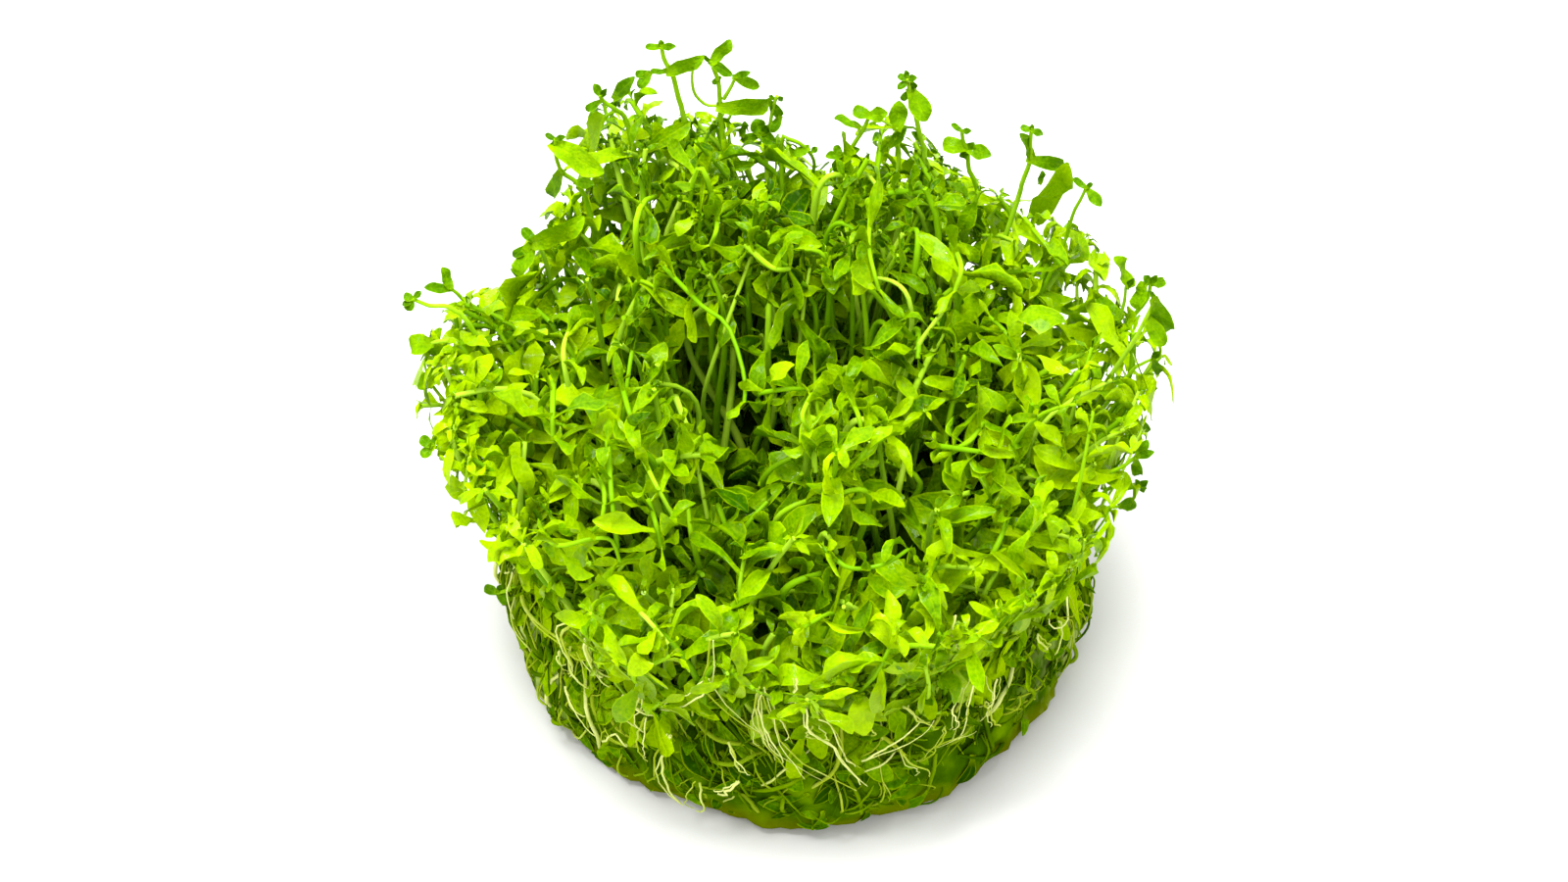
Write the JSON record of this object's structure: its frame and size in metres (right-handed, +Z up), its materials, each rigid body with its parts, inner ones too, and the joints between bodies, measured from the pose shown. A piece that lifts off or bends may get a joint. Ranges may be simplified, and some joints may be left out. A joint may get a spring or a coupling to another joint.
{
  "type": "pearlweed",
  "caption": "Round clump of an aquarium plant: a disc-shaped mat of roots carrying a crown of packed leafy stems with single sprigs standing clear of it.",
  "frame": {"origin": "middle of the root mat's flat underside", "axes": "+Z up along the stems; +Y away from the viewer, towards the two tall humps of the crown; +X to the viewer's right"},
  "size_m": [0.0825, 0.0815, 0.0605],
  "materials": {
    "leaf": "wet, slightly glossy living leaf, thin enough that light shines through it",
    "tip_leaf": "wet, slightly glossy young leaf, a darker green than the leaves below it",
    "root_mat": "wet and glossy: olive-green pressed stems and leaves, pale roots and a clear yellowish gel"
  },
  "bodies": {
    "root": {"root_mat": "root_mat", "tuft_outer_01": "leaf", "tuft_outer_02": "leaf", "tuft_outer_03": "leaf", "tuft_outer_04": "leaf", "tuft_outer_05": "leaf", "tuft_outer_06": "leaf", "tuft_outer_07": "leaf", "tuft_outer_08": "leaf", "tuft_outer_09": "leaf", "tuft_outer_10": "leaf", "tuft_outer_11": "leaf", "tuft_outer_12": "leaf", "tuft_middle_01": "leaf", "tuft_middle_02": "leaf", "tuft_middle_03": "leaf", "tuft_middle_04": "leaf", "tuft_middle_05": "leaf", "tuft_middle_06": "leaf", "tuft_middle_07": "leaf", "tuft_inner_01": "leaf", "tuft_inner_02": "leaf", "tuft_inner_03": "leaf", "sprig_01": "tip_leaf", "sprig_02": "tip_leaf", "sprig_03": "tip_leaf", "sprig_04": "tip_leaf", "sprig_05": "tip_leaf", "sprig_06": "tip_leaf", "sprig_07": "tip_leaf", "sprig_08": "tip_leaf", "sprig_09": "tip_leaf", "sprig_10": "tip_leaf", "sprig_11": "tip_leaf", "sprig_12": "tip_leaf", "sprig_13": "tip_leaf", "sprig_14": "tip_leaf", "sprig_15": "tip_leaf", "sprig_16": "tip_leaf", "sprig_17": "tip_leaf", "sprig_18": "tip_leaf", "sprig_19": "tip_leaf", "sprig_20": "tip_leaf", "sprig_21": "tip_leaf", "sprig_22": "tip_leaf", "sprig_23": "tip_leaf", "sprig_24": "tip_leaf"}
  },
  "joints": []
}
